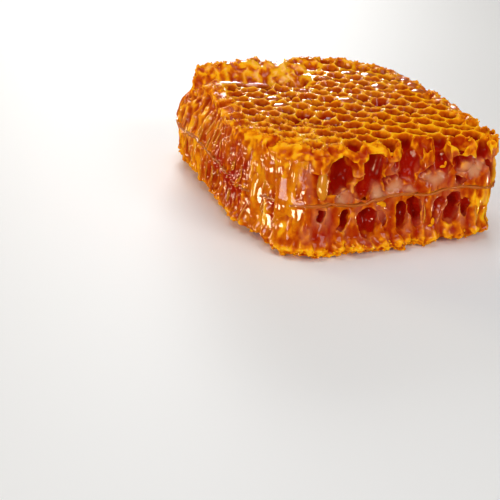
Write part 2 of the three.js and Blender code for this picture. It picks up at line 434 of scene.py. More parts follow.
frontCells = {  # place, half width, low, high, depth and lean of each recess
    "upper": [
        (9.9, 3.2, 14.3, 26.1, 4.4, 0.02), (18.8, 3.1, 14.4, 25.9, 4.4, -0.03),
        (28.4, 2.8, 15.2, 29.5, 4.2, 0.03), (37.5, 2.4, 17.4, 29.5, 4.0, -0.08),
        (42.4, 2.6, 18.4, 25.2, 3.2, 0.1), (47.6, 2.0, 19.0, 29.5, 3.4, 0.05),
        (24.0, 1.4, 20.6, 24.6, 2.4, 0.5), (32.6, 1.7, 16.8, 23.0, 3.2, 0.4),
        (24.6, 2.3, 14.5, 19.4, 2.8, -0.3), (14.8, 2.1, 13.2, 19.0, 2.4, 0.3),
        (7.0, 0.8, 15.0, 21.0, 1.7, 0.1), (41.2, 1.5, 14.9, 18.2, 2.0, 0.5),
    ],
    "lower": [
        (3.6, 1.2, 8.6, 12.2, 1.8, 0.5), (9.2, 1.35, 5.6, 12.0, 3.2, 0.35),
        (16.9, 2.8, 4.0, 11.6, 4.2, 0.05), (26.4, 1.75, 4.0, 12.4, 4.2, 0),
        (31.2, 1.75, 5.2, 13.4, 3.8, -0.25), (35.7, 1.3, 6.4, 12.8, 2.2, 0.2),
        (40.0, 1.8, 4.9, 13.6, 4.2, 0.14), (44.4, 1.2, 6.0, 12.2, 1.8, -0.12),
        (21.8, 1.2, 6.4, 10.8, 1.4, -0.35),
    ],
    "from": 2, "to": 50.5, "behind": 4,
    "bend": 0.75,
}

petals = [  # torn wax that hangs over the front: place, foot, half width and reach
    (4.8, 21.2, 2.3, 1.4), (14.2, 20.4, 2.2, 1.6), (23.4, 23.4, 2.4, 0.8), (33.2, 21.6, 2.7, 1.1),
    (43.4, 23.0, 2.2, 1.2),
]

frontFilms = {  # honey that has run together over the front, above the midrib
    "patches": [  # place, height, half width, half height and turn
        (10.4, 13.9, 2.5, 1.9, 4), (19.9, 14.1, 2.3, 2.5, 10), (24.3, 15.6, 2.7, 2.0, 20),
        (28.4, 15.0, 1.6, 1.5, 0), (35.1, 17.0, 2.9, 2.1, 18), (45.6, 19.0, 3.7, 3.0, 15),
    ],
    "ragged": 0.42,
    "sunk": 0.2,
    "slope": 0.22,  # how fast they go back with height
    "reach": (3.0, 4.6),  # deeper places are left open
}

thinWax = [  # thin wax on the front that honey shows through: place, height and half sizes
    (4.0, 5.4, 3.4, 2.8), (16.2, 3.4, 2.4, 1.2), (30.5, 4.0, 1.5, 1.2), (40.6, 3.6, 1.8, 1.2),
]

waxGrain = {
    "voxel": 0.33,
    "smoothing": 1,
    "triangles": 192000,
    "thinning": 0.6,  # how much narrower the crests between the cells become
    "edgeFall": 1.5,  # how far the upper face falls at the front cut
}


def bowlTool():
    # a six-sided bowl with a flared mouth at z = 0
    tool = added(bpy.ops.mesh.primitive_circle_add, vertices=6, radius=bowl["mouth"],
                 fill_type="NGON")
    edit()
    bpy.ops.transform.translate(value=(0, 0, bowl["above"]))
    for drop, narrow in bowl["steps"]:
        bpy.ops.mesh.extrude_region_move(TRANSFORM_OT_translate={"value": (0, 0, -drop)})
        bpy.ops.transform.resize(value=(narrow, narrow, 1))
    bpy.ops.mesh.select_all(action="SELECT")
    bpy.ops.mesh.normals_make_consistent(inside=False)
    stopEdit()
    return tool


def trenchTool(sides=6, cuts=7):
    # a tall bar of height 1 with rounded ends, standing on z = 0
    tool = added(bpy.ops.mesh.primitive_cylinder_add, vertices=sides, radius=1, depth=1,
                 location=(0, 0, 0.5))
    bpy.ops.object.transform_apply(location=True)
    edit()
    bpy.ops.mesh.subdivide(number_cuts=cuts)
    stopEdit()
    spots = pointsOf(tool)
    ends = np.minimum(spots[:, 2], 1 - spots[:, 2])
    narrow = (0.4 + 0.6 * smooth(0, 0.2, ends) ** 0.5) * (0.78 + 0.22 * smooth(0, 0.7, spots[:, 2]))
    spots[:, :2] *= narrow[:, None]
    movePoints(tool, spots)
    return tool


def inTurns(tools):
    # groups without neighbours, as tools that overlap can't cut at once
    groups = []
    for tool in tools:
        for group in groups:
            if all(math.dist(tool[0], other[0]) > 1.6 * lattice["pitch"] for other in group):
                group.append(tool)
                break
        else:
            groups.append([tool])
    return groups


def cutTools(layer, draw):
    upper = layer == "upper"
    whole, opened = [], []
    for (x, y), inside in zip(*latticeCells(0 if upper else lattice["layerShift"])):
        if inside > lattice["rimReach"][layer]:
            size = 1 + bowl["sizeSpread"] * draw.uniform(-1, 1)
            depth = draw.uniform(*bowl["depth"])
            if upper and toCorner(x, y) < bowl["smearedReach"]:
                size *= draw.uniform(*bowl["smearedSize"])
                depth *= bowl["smearedDepth"]
            if upper and isCrumpled(x, y):
                if x < crumple["shut"]:
                    continue
                size *= draw.uniform(*crumple["size"])
                depth *= crumple["depth"]
            x += bowl["shiftSpread"] * draw.uniform(-0.5, 0.5)
            y += bowl["shiftSpread"] * draw.uniform(-0.5, 0.5)
            spin = Matrix.Rotation(lattice["turn"] + draw.uniform(-0.06, 0.06), 4, "Z")
            flip = Matrix.Rotation(0 if upper else math.pi, 4, "X")
            foot = (x, y, top if upper else 0)
            whole.append(((x, y), placing(foot, (size, size, depth), spin, flip)))
        elif toCorner(x, y) > lattice["smearReach"] and not (
                y < frontCells["behind"] and frontCells["from"] < x < frontCells["to"]):
            opened.append(((x, y), inside))
    tools = [copiesOf(bowlTool(), layer + "Bowls", [place for _, place in group])
             for group in inTurns(whole)]
    tools += [trenchesAt(group, layer, draw) for group in inTurns(opened)]
    windows = inTurns(((x, 0), *rest) for x, *rest in frontCells[layer])
    tools += [windowsAt(group) for group in windows]
    return tools, np.array([middle for middle, _ in whole])


def trenchesAt(opened, layer, draw):
    bars = []
    for (x, y), inside in opened:
        middle = float(midribHeight(x, y))
        radius = trench["radius"] * (1 + trench["sizeSpread"] * draw.uniform(-1, 1))
        if layer == "upper":
            low = middle + trench["floorGap"] * draw.uniform(0.6, 1.4)
            high = top - trench["roof"] * draw.uniform(0.6, 1.4)
        else:
            low = draw.uniform(*trench["fringe"])
            high = middle - draw.uniform(*trench["ceiling"])
        spin = Matrix.Rotation(lattice["turn"] + math.pi / 2 + draw.uniform(-0.2, 0.2), 4, "Z")
        lean = Matrix.Rotation(draw.uniform(-0.12, 0.12), 4, "Y")
        bars.append(placing((x, y, low), (radius, radius, high - low), lean, spin))
    trenches = copiesOf(trenchTool(), layer + "Trenches", bars)
    # the bars lean with the side that they open to
    spots = pointsOf(trenches)
    owner = np.repeat(np.arange(len(bars)), len(spots) // len(bars))
    x, y, inside = np.array([(*place, depth) for place, depth in opened])[owner].T
    share = np.clip(spots[:, 2] / top, 0.1, 1)
    out = outwardAt(x, y)
    inward = np.minimum((spots[:, 0] - x) * out[:, 0] + (spots[:, 1] - y) * out[:, 1], 0)
    left = smooth(0.3, 0.8, -out[:, 0])
    move = np.maximum(inside - lattice["opening"], 0) + sideSwell(x, y, share)
    move += inward * (trench["deepening"] - 1) * (1 - left) + trench["leftShift"] * left
    spots[:, :2] += out * move[:, None]
    stiff = 1 - 0.6 * left[:, None]
    spots[:, :2] += trench["bend"] * bent(spots, (2.2, 2.2, 2.6), (73, 74)) * stiff
    movePoints(trenches, spots)
    return trenches


def windowsAt(cells):
    # recesses in the front cut, which rise from a sloping foot
    bars = [placing((x, y, low), (wide / 0.9, deep, high - low), Matrix.Rotation(lean, 4, "Y"))
            for (x, y), wide, low, high, deep, lean in cells]
    window = trenchTool(8, 13)
    spots = pointsOf(window)
    spots[:, 1] *= 0.25 + 0.75 * smooth(0, 0.34, spots[:, 2])
    movePoints(window, spots)
    windows = copiesOf(window, "windows", bars)
    spots = pointsOf(windows)
    share = np.clip(spots[:, 2] / top, 0.05, 1)
    spots[:, 1] -= sideSwell(spots[:, 0], np.zeros(len(spots)), share)
    spots[:, :2] += frontCells["bend"] * bent(spots, (2.2, 2.2, 2.6), (71, 72))
    movePoints(windows, spots)
    return windows


def layerBlock(layer):
    block = added(bpy.ops.mesh.primitive_cylinder_add, layer + "Wax", vertices=slab["edgeSteps"],
                  radius=1, depth=2)
    edit("DESELECT")
    stopEdit()
    heights = pointsOf(block)[:, 2]
    for edge in block.data.edges:
        a, b = edge.vertices
        edge.select = abs(heights[a] - heights[b]) > 1
    bpy.ops.object.mode_set(mode="EDIT")
    bpy.ops.mesh.select_mode(type="EDGE")
    bpy.ops.mesh.subdivide(number_cuts=9)
    stopEdit()
    spots = pointsOf(block)
    onEdge = edgeAt(np.round(stepsRound(spots)))
    part = (spots[:, 2] + 1) / 2
    middle = midribHeight(*onEdge.T)
    if layer == "upper":
        height = middle + 0.1 + (top - middle - 0.1) * part
    else:
        height = (middle - 0.1) * part
    swell = sideSwell(*onEdge.T, height / top)
    movePoints(block, np.c_[onEdge + outwardAt(*onEdge.T) * swell[:, None], height])
    return block


def bendOf(thing, rounds=4):
    # how far each point stands out of its neighbours: crests above 0
    spots = pointsOf(thing)
    ends = np.empty(len(thing.data.edges) * 2, dtype=np.int64)
    thing.data.edges.foreach_get("vertices", ends)
    a, b = ends.reshape(-1, 2).T
    count = np.bincount(a, minlength=len(spots)) + np.bincount(b, minlength=len(spots))

    def blurred(values):
        return (np.bincount(a, values[b], len(spots)) + np.bincount(b, values[a], len(spots))) / count

    even = spots.copy()
    for _ in range(rounds):
        even = np.stack([blurred(even[:, axis]) for axis in range(3)], axis=1)
    bend = np.einsum("ij,ij->i", spots - even, readAll(thing.data.vertex_normals, "vector"))
    return (bend + blurred(bend)) / 2


def sideOf(spots, layer):
    # how deep each point lies behind the cut, and how far it belongs to each side
    x, y, z = spots.T
    depth = readMap("inside", x, y) + sideSwell(x, y, np.clip(z / top, 0, 1))
    out = outwardAt(x, y)
    left = smooth(0.3, 0.8, -out[:, 0])
    return SimpleNamespace(
        upper=layer == "upper", depth=depth, face=fade(3.0, 5.2, depth), out=out, left=left,
        front=smooth(0.3, 0.8, -out[:, 1]), right=smooth(0.3, 0.8, out[:, 0]),
        smeared=fade(*lattice["smearFade"], toCorner(x, y)),
        crushed=left * hill(z - midribHeight(x, y), 3) * fade(26, 40, y))


def toWall(spots, middles):
    # the way from each point to the middle of the wall between its two nearest cells
    ways = np.empty((len(spots), 2))
    for part in np.array_split(np.arange(len(spots)), 60):
        gaps = np.linalg.norm(spots[part, None, :2] - middles[None], axis=2)
        pair = np.argpartition(gaps, 1, axis=1)[:, :2]
        a, b = middles[pair[:, 0]], middles[pair[:, 1]]
        across = (b - a) / np.linalg.norm(b - a, axis=1, keepdims=True)
        ways[part] = across * np.einsum("ij,ij->i", (a + b) / 2 - spots[part, :2], across)[:, None]
    return ways


def petalAt(spots):
    x, y, z = spots.T
    total = np.zeros(len(spots))
    for place, foot, wide, reach in petals:
        foot = foot + 0.5 * ((x - place) / wide) ** 2 + 0.5 * lumps(spots, (1.6, 1.6, 20), 24)
        total += reach * np.exp(-((x - place) / wide) ** 4) * smooth(0, 0.9, z - foot)
    return total * fade(4, 8, y)


def filmAt(spots, edge=(0.8, 1.1)):
    # 1 where a film of honey covers the front, and its foot
    x, y, z = spots.T
    share, foot = np.zeros(len(spots)), np.zeros(len(spots))
    ragged = bumps("filmEdge", spots) * frontFilms["ragged"]
    for place, height, wide, tall, turn in frontFilms["patches"]:
        u, v = turned(x - place, z - height, -math.radians(turn))
        inside = fade(*edge, np.hypot(u / wide, v / tall) + ragged)
        foot = np.where(inside > share, height - tall, foot)
        share = np.maximum(share, inside)
    return share * fade(4, 7, y), foot


def leaning(spots, left):
    # sheared, so that streaks on the left side lean to the front as they rise
    sheared = spots.copy()
    lean = slab["streakLean"] * (1 - 0.6 * smooth(40, 60, spots[:, 1]))
    sheared[:, 1] += lean * spots[:, 2] * left
    return sheared


def weatherWax(wax, layer, middles):
    spots = pointsOf(wax)
    x, y, z = spots.T
    # the crests between the cells get thinner
    ways = toWall(spots, middles)
    thin = waxGrain["thinning"] * fade(0.7, 1.5, np.linalg.norm(ways, axis=1))
    thin *= fade(0.1, 1.6, top - z if layer == "upper" else z)
    spots[:, :2] += ways * thin[:, None]
    side = sideOf(spots, layer)
    streaks = bumps("streaks", leaning(spots, side.left), gain=side.left)
    push = streaks * (1 - side.smeared) + bumps("folds", spots) * side.smeared
    push += 0.12 * lumps(spots, 1.0, 5)
    push += side.crushed * bumps("crushed", spots)
    push += fade(1, 5, np.minimum(z, top - z)) * bumps("ends", spots)
    push += fade(2, 4.5, z) * bumps("foot", spots, base=0.2)
    push += side.front * smooth(44, 47, x) * fade(11, 14, z) * lumps(spots, (1.7, 1.7, 2.6), 49)
    push *= side.face
    film = np.zeros(len(spots))
    if side.upper:
        push += side.face * petalAt(spots) * (1 - 0.5 * smooth(25, 27, z))
        film, foot = filmAt(spots)
        film *= fade(*frontFilms["reach"], side.depth)
        level = frontFilms["slope"] * (z - foot) + frontFilms["sunk"] + 0.15 * lumps(spots, 2.6, 38)
        gap = side.depth - level - push
        push += np.where(gap > 0, gap, 0.75 * gap) * film
    spots[:, :2] += side.out * push[:, None]
    # the recesses get torn outlines
    torn = side.face * (1 - side.left) * (1 - film) * fade(2.5, 4.5, side.depth)
    sideways = torn * bumps("tornAside", spots)
    spots[:, 0] -= side.out[:, 1] * sideways
    spots[:, 1] += side.out[:, 0] * sideways
    spots[:, 2] += torn * smooth(1, 3, z) * bumps("tornUp", spots)
    if side.upper:
        rise = smooth(0, 1, (z - 16.5) / (top - 19))
        crest = smooth(top - 1.8, top, z)
        spots[:, 2] += crest * bumps("crest", spots, base=-0.05 * cellWave(x, y))
        steep = 0.12 + 0.88 * side.front + 0.2 * side.left
        drop = waxGrain["edgeFall"] * steep * fade(0.1, 2.6, side.depth)
        spots[:, 2] -= rise * drop * (1 + 0.35 * lumps(spots, (3, 3, 9), 16))
        spots[:, 2] += rise * faceHeight(x, y)
        pressed = crumpledAt(x, y) * rise
        spots[:, 2] += pressed * bumps("crumple", np.c_[x, y, np.zeros(len(x))])
        spots[:, 1] -= pressed * bumps("crumpleAside", spots)
    else:
        spots[:, 2] += side.face * fade(0, 4, z) * 0.5 * (1 + lumps(spots, (1.6, 1.6, 9), 10))
        spots[:, 2] = np.maximum(spots[:, 2], 0)
    movePoints(wax, spots)


soaking = {  # 0 on a dry golden crest, 1 in deep honey; lower values also stand for painted glow on thin lit wax, higher ones for painted shade deep in the cells
    "crest": 0.12,
    "wall": 0.2,  # added a little under the crests
    "pool": 0.58,  # and further down in the cells
    "torn": 0.4,
    "side": 0.6,  # on the cut sides, less at the smeared corner, and less at the right end as a painted glow
    "smeared": 0.36,
    "rightEndGlow": 0.42,
    "band": 0.32,  # the golden bands along the edges, partly the wax's colour and partly a painted glow of light through the thin wax
    "bandReach": (1.6, 4.6),
    "hanging": 0.18,  # torn wax over the front
    "thin": 0.2,  # on thin wax
    "crushed": 0.35,  # on crushed wax by the midrib
    "pit": 0.3,  # in the crumpled cells
    "edgeGlowAndHollowShade": 1.6,  # painted light: how much lighter an edge or crest is made as painted glow, and how much darker a hollow as painted shade
    "film": 0.34,  # pale film on the front's walls, partly a painted reflection of soft light
}


def soakAt(spots, side, bend):
    x, y, z = spots.T
    drop = top + faceHeight(x, y) - z if side.upper else z
    hanging = petalAt(spots) if side.upper else 0
    # darker further down in the cells: partly the honey, partly painted shade
    inCell = soaking["crest"] + soaking["wall"] * smooth(-0.1, 1.1, drop)
    inCell += soaking["pool"] * smooth(1.0, 2.6, drop) - 0.1 * lumps(spots, 2.6, 50)
    inCell += soaking["torn"] * tornAt(x, y) * smooth(0.1, 0.9, drop)
    ends = drop if side.upper else drop * (0.85 - 0.2 * side.front)
    # golden bands near the top and the foot: partly wax colour, partly painted glow
    golden = fade(*soaking["bandReach"], ends + 1.1 * lumps(spots, 1.7, 19) - 1.9 * hanging)
    onFin = soaking["side"] - soaking["smeared"] * side.smeared
    # painted glow: the right end is lighter near the front, as if lit through from behind
    onFin -= soaking["rightEndGlow"] * side.right * fade(9, 16, y)
    onFin -= side.left * (0.02 + 0.3 * smooth(30, 52, y))
    onFin += 0.2 * lumps(leaning(spots, side.left), (1.0, 1.0, 7), 20) * (1 + 0.9 * side.left)
    # painted glow: the lower right end is lighter, as if lit through from behind
    onFin -= 0.45 * smooth(44.5, 48, x) * fade(11, 14.5, z + lumps(spots, 2.0, 27))
    thin = sum(hill(np.hypot((x - place) / wide, (z - height) / tall), 0.7)
               for place, height, wide, tall in thinWax) * side.front
    onFin += soaking["thin"] * thin
    side.golden = golden * (1 - np.clip(0.9 * thin, 0, 1))
    onFin += soaking["crushed"] * side.crushed * smooth(-0.4, 0.4, lumps(spots, 1.6, 28))
    onSide = np.maximum(onFin, smooth(0.5, 2.0, side.depth) * (1 - 0.4 * side.left))
    tone = soaking["band"] + 0.24 * lumps(spots, 1.2, 26)
    tone += soaking["hanging"] * np.minimum(hanging, 1)
    onSide += (tone - onSide) * side.golden
    soak = (1 - side.face) * inCell + side.face * onSide
    if side.upper:
        pit = smooth(0.8, 3.2, top - z) * crumpledAt(x, y) * (1 - side.face)
        soak += pit * (soaking["pit"] - soak + 0.3 * lumps(spots, 1.5, 25))
    soak += 0.08 * lumps(spots, 4.0, 12) + 0.06 * lumps(spots, 1.4, 13)
    # painted light: crests and edges are made lighter as painted glow and hollows darker as painted
    # shade, more so on the front
    edges = 0.15 * side.front - 0.45 * side.right - 0.4 * side.left * (1 - side.golden)
    soak -= np.clip(bend * soaking["edgeGlowAndHollowShade"], -0.2, 0.3) * (1 + side.face * edges)
    return np.clip(soak, 0, 1)


def paleFilmAndReflectionAt(spots, side):
    # how thick a pale film of honey lies on the front, its pale tan partly a painted reflection of soft
    # light
    pale = side.face * (1 - side.left) * fade(0.8, 2.4, side.depth) * (1 - side.golden)
    pale *= np.clip(0.04 + soaking["film"] * lumps(spots, (1.6, 1.6, 5), 48), 0, soaking["film"])
    if side.upper:
        pale = np.maximum(pale, filmAt(spots, (0.1, 1.15))[0] * fade(2.4, 3.6, side.depth))
    return pale


def wetAt(spots, side):
    x, y, z = spots.T
    onTop = 1 - side.face
    wet = 0.45 + 0.5 * smooth(-0.2, 0.5, lumps(spots, 5.0, 21))
    if side.upper:
        wet = np.maximum(wet, smooth(26, 40, y) * fade(26, 38, x) * smooth(-8, 0, x))
        # the left border, the ridge and the right of the upper face are drier
        wet *= 1 - alongLine(x, y, (-10.5, 60), (-7, 42), 0.75, 4) * smooth(20, 24, z)
        wet *= 1 - 0.6 * smooth(63, 70, y) * onTop
        wet *= 1 - 0.8 * smooth(38, 46, x) * onTop
    wet = np.maximum(wet, side.face * np.maximum(side.smeared, 0.5 * side.left))
    wet *= 1 - 0.5 * side.face * side.front * smooth(0.6, 2.0, side.depth)
    if side.upper:
        dry = 1 - side.face * (1 - side.golden)
        wet *= 1 - 0.85 * dry * smooth(0, 14, 28 - y)
        wet *= 1 - 0.7 * side.left * side.face * smooth(21, 24, z) * smooth(38, 48, y)
    return np.clip(wet, 0, 1)


def soakWax(wax, layer):
    spots = pointsOf(wax)
    side = sideOf(spots, layer)
    # soak holds the honey's colour together with painted glow and painted shade
    soak = soakAt(spots, side, bendOf(wax))
    paintPoints(wax, soak=soak, film=paleFilmAndReflectionAt(spots, side), wet=wetAt(spots, side))


def buildWax(layer, seed):
    block = layerBlock(layer)
    tools, middles = cutTools(layer, random.Random(seed))
    for tool in tools:
        useModifier(block, "BOOLEAN", operation="DIFFERENCE", solver="MANIFOLD", object=tool)
        bpy.data.objects.remove(tool)
    useModifier(block, "REMESH", mode="VOXEL", voxel_size=waxGrain["voxel"])
    useModifier(block, "SMOOTH", factor=0.5, iterations=waxGrain["smoothing"])
    weatherWax(block, layer, middles)
    triangles = 2 * len(block.data.polygons)
    useModifier(block, "DECIMATE", ratio=min(1, waxGrain["triangles"] / triangles))
    soakWax(block, layer)
    block.data.materials.clear()
    print(layer, "wax:", len(block.data.polygons), "faces")
    return block


midrib = {
    "thickness": 0.55,
    "proud": 0.4,  # how far its edge stands out of the wax
    "edgeRound": 0.15,
}

cutFilms = {  # honey that stands in the bottoms of the opened cells
    "along": (0.21, 0.95), "steps": (420, 26),
    "low": 0.25, "high": 8.0,  # from the midrib
    "near": 0.75, "nearSpread": 0.35, "nearSize": (3, 3, 30),
    "slope": 0.55,
    "level": (0.2, 1.6), "far": 3.5, "lip": 1.4,  # how high it stands
    "thickness": 0.5,
    "lean": 0, "corner": 0,
}

smearFilms = {  # honey smeared over the left side and the near left corner
    "along": (0.9, 1.012), "steps": (260, 70),
    "low": -9.5, "high": 11.5,
    "near": 1.2, "nearSpread": 1.2, "nearSize": (2.8, 2.8, 8),
    "slope": 0.0,
    "level": (10, 11), "far": 3.5, "lip": 2.2,
    "thickness": 0.5,
    "lean": 0.45,  # of its streaks, away from the smeared corner
    "corner": 1.4,  # how much further out it lies at the smeared corner
}


def buildMidrib():
    sheet = added(bpy.ops.mesh.primitive_cylinder_add, "midribSheet", vertices=960, radius=1, depth=2)
    spots = pointsOf(sheet)
    onEdge = edgeAt(stepsRound(spots))
    middle = midribHeight(*onEdge.T)
    flat = np.c_[onEdge, middle]
    proud = bumps("midribEdge", flat, base=midrib["proud"])
    proud += sideSwell(*onEdge.T, middle / top)
    onEdge = onEdge + outwardAt(*onEdge.T) * proud[:, None]
    height = middle + 0.25 * lumps(flat, 1.8, 33)
    height += spots[:, 2] * midrib["thickness"] / 2 * (1 + 0.4 * lumps(flat, 1.2, 34))
    movePoints(sheet, np.c_[onEdge, height])
    edit()
    bpy.ops.mesh.bevel(offset=midrib["edgeRound"], segments=2)
    stopEdit()
    print("midrib:", len(sheet.data.polygons), "faces")
    return sheet


def onSide(along, height, proud=0.0):
    # a place on the side, at a share of the way round it and a height
    flat = edgeAt((np.atleast_1d(along) % 1) * slab["edgeSteps"])
    swell = sideSwell(*flat.T, np.asarray(height) / top) + proud
    return flat + outwardAt(*flat.T) * np.reshape(swell, (-1, 1))


def buildFilms(name, film, seed):
    # a skin of honey along the cut, which shows where it stands out of the wax
    skin = added(bpy.ops.mesh.primitive_grid_add, name, x_subdivisions=film["steps"][0],
                 y_subdivisions=film["steps"][1], size=2)
    spots = pointsOf(skin)
    start, end = film["along"]
    onEdge = edgeAt((start + (end - start) * (spots[:, 0] + 1) / 2) * slab["edgeSteps"])
    x, y = onEdge.T
    rise = film["low"] + (film["high"] - film["low"]) * (spots[:, 1] + 1) / 2
    low, high = film["level"]
    level = np.c_[onEdge, np.zeros(len(x))]
    level = low + (high - low) * (0.5 + 0.5 * lumps(level, 3.6, seed)) ** 1.5
    away = smooth(*lattice["smearFade"], toCorner(x, y))
    leant = np.c_[x, y + film["lean"] * rise * away, rise]
    near = film["near"] + film["nearSpread"] * lumps(leant, film["nearSize"], seed + 1)
    near -= film["corner"] * (1 - away)
    depth = near + film["slope"] * rise + film["far"] * smooth(0, film["lip"], rise - level)
    depth += 3 * smooth(0.86, 1, abs(spots[:, 0]))  # its ends sink into the wax
    depth += 0.15 * lumps(np.c_[x, y, rise], 4.0, seed + 2)
    height = midribHeight(x, y) + rise
    depth -= sideSwell(x, y, height / top)
    movePoints(skin, np.c_[onEdge - outwardAt(x, y) * depth[:, None], height])
    useModifier(skin, "SOLIDIFY", thickness=film["thickness"], offset=-1)
    print(name, len(skin.data.polygons), "faces")
    return skin


topPools = {
    # middle, half sizes and turn of honey that stands by the trough
    "ledge": [(-1.6, 56.8, 4.2, 1.3, -20), (4.2, 52.6, 3.4, 1.0, -10)],
    "brimful": [  # cells that are full of honey
        (46.9, 54.8), (46.9, 50), (46.3, 59.8), (37.4, 58.3), (37.6, 48.7), (26.6, 55.2),
        (17.1, 44.7), (25.9, 37.0), (5.8, 36.1), (34.2, 63.7), (47.8, 40.5), (5.2, 43.1),
    ],
    "radius": (1.3, 2.4),
    "aside": 0.7,  # how far off a cell's middle they stand
    "drop": 0.75,  # how far under the face's height they stand
    "bulge": 0.8,
    "wobble": [(0, 0.5, 1.5, 51), (1, 0.5, 1.2, 52), (2, 0.16, 1.6, 53)],
}


def buildTopPools():
    lens = added(bpy.ops.mesh.primitive_uv_sphere_add, segments=40, ring_count=14, radius=1)
    cells = latticeCells()[0]
    places = list(topPools["ledge"])
    draw = random.Random(61)
    for x, y in topPools["brimful"]:
        aside = [topPools["aside"] * draw.uniform(-1, 1) for _ in range(2)]
        sizes = [draw.uniform(*topPools["radius"]) for _ in range(2)]
        places.append((*(nearest(cells, x, y) + aside), *sizes, draw.uniform(0, 180)))
    matrices = []
    for x, y, wide, deep, turn in places:
        height = top + float(faceHeight(np.array(x), np.array(y))) - topPools["drop"]
        matrices.append(placing((x, y, height), (wide, deep, topPools["bulge"]),
                                Matrix.Rotation(math.radians(turn), 4, "Z")))
    pools = copiesOf(lens, "topPools", matrices)
    wobble(pools, topPools["wobble"])
    print("pools:", len(matrices))
    return pools


drips = {
    "big": [(0.019, 14.4, 10.0, 1.8, 0.2)],  # share of the way round, foot, length, half width, proud
    "thin": [(0.13, 6, 5.5, 0.24, -0.08), (0.187, 5, 6, 0.28, -0.08)],  # on the front
    "beads": 80,  # small drops on the left side and round its front corner
    "beadReach": (0.8, 1.03),
    "beadSize": (0.12, 0.32),
    "beadHeight": (3, 23),
    "left": 46,  # thin ones on the left side
    "leftReach": (0.72, 0.985),
    "leftLean": 0.0014,  # share of the way round that they lean for each millimetre
    "others": 30,  # and on the right side and the back
    "othersReach": (0.26, 0.7),
    "foot": (2.5, 17),
    "length": (3, 7.5),
    "width": (0.2, 0.42),
    "wobble": [(0, 0.35, (2.4, 2.4, 3), 82), (1, 0.35, (2.4, 2.4, 3), 83)],
}

crumbs = {
    "rim": 420,  # on the upper face's edges
    "fringe": 420,  # on the ragged foot
    "face": 160,  # on the crests in the middle
    "corner": 240,  # near the smeared corner
    "size": (0.16, 0.6),
    "beads": [  # round ones on the upper face: place and size
        (9.6, 22.6, 0.8), (30.7, 35.4, 0.6), (29.4, 29.8, 0.8), (26.3, 19.3, 0.75), (5.3, 28.7, 0.5),
        (4.9, 22.7, 0.5), (14.0, 26.7, 0.45), (15.6, 24.6, 0.45), (1.7, 8.6, 0.5), (24.6, 11.7, 0.5),
        (7.9, 25.7, 0.4), (19.5, 31.2, 0.4), (21.1, 22.6, 0.4), (3.4, 15.5, 0.45), (33.6, 33.0, 0.6),
    ],
    "flakes": [  # single ones on the front: place, height, half width and height
        (20.4, 12.4, 1.0, 0.5), (21.2, 11.8, 0.8, 0.8), (37.2, 20.3, 0.8, 0.35), (37.9, 21.0, 0.3, 0.7),
        (35.0, 6.4, 0.45, 1.1), (34.4, 5.4, 0.7, 0.3), (23.2, 24.4, 0.6, 0.5), (12.6, 24.6, 0.8, 0.5),
    ],
}


def buildDrips():
    drop = added(bpy.ops.mesh.primitive_uv_sphere_add, segments=12, ring_count=18, radius=1)
    spots = pointsOf(drop)
    spots[:, :2] *= (0.3 + 0.7 * smooth(-0.9, 0.6, -spots[:, 2]))[:, None]
    movePoints(drop, spots)
    draw = random.Random(81)
    placed = drips["big"] + drips["thin"]
    for kind in ("left", "others"):
        for _ in range(drips[kind]):
            foot, length = draw.uniform(*drips["foot"]), draw.uniform(*drips["length"])
            along = draw.uniform(*drips[kind + "Reach"])
            placed.append((along, foot, length, draw.uniform(*drips["width"]), 0.1))
    matrices = []
    for _ in range(drips["beads"]):
        along, height = draw.uniform(*drips["beadReach"]), draw.uniform(*drips["beadHeight"])
        size = draw.uniform(*drips["beadSize"])
        place = onSide(along, height, draw.uniform(-0.5, 0.1))[0]
        matrices.append(placing((*place, height), (size, size, size)))
    for along, foot, length, radius, proud in placed:
        ahead = drips["leftLean"] * length if drips["leftReach"][0] < along < 1 else 0
        low, high = onSide(along, foot, proud)[0], onSide(along + ahead, foot + length, proud)[0]
        axis = Vector((*(high - low), length))
        middle = (Vector((*low, foot)) + Vector((*high, foot + length))) / 2
        matrices.append(placing(middle, (radius, radius, axis.length / 2),
                                axis.to_track_quat("Z", "Y").to_matrix().to_4x4()))
    strings = copiesOf(drop, "honeyDrips", matrices)
    wobble(strings, drips["wobble"])
    print("drips:", len(matrices))
    return strings


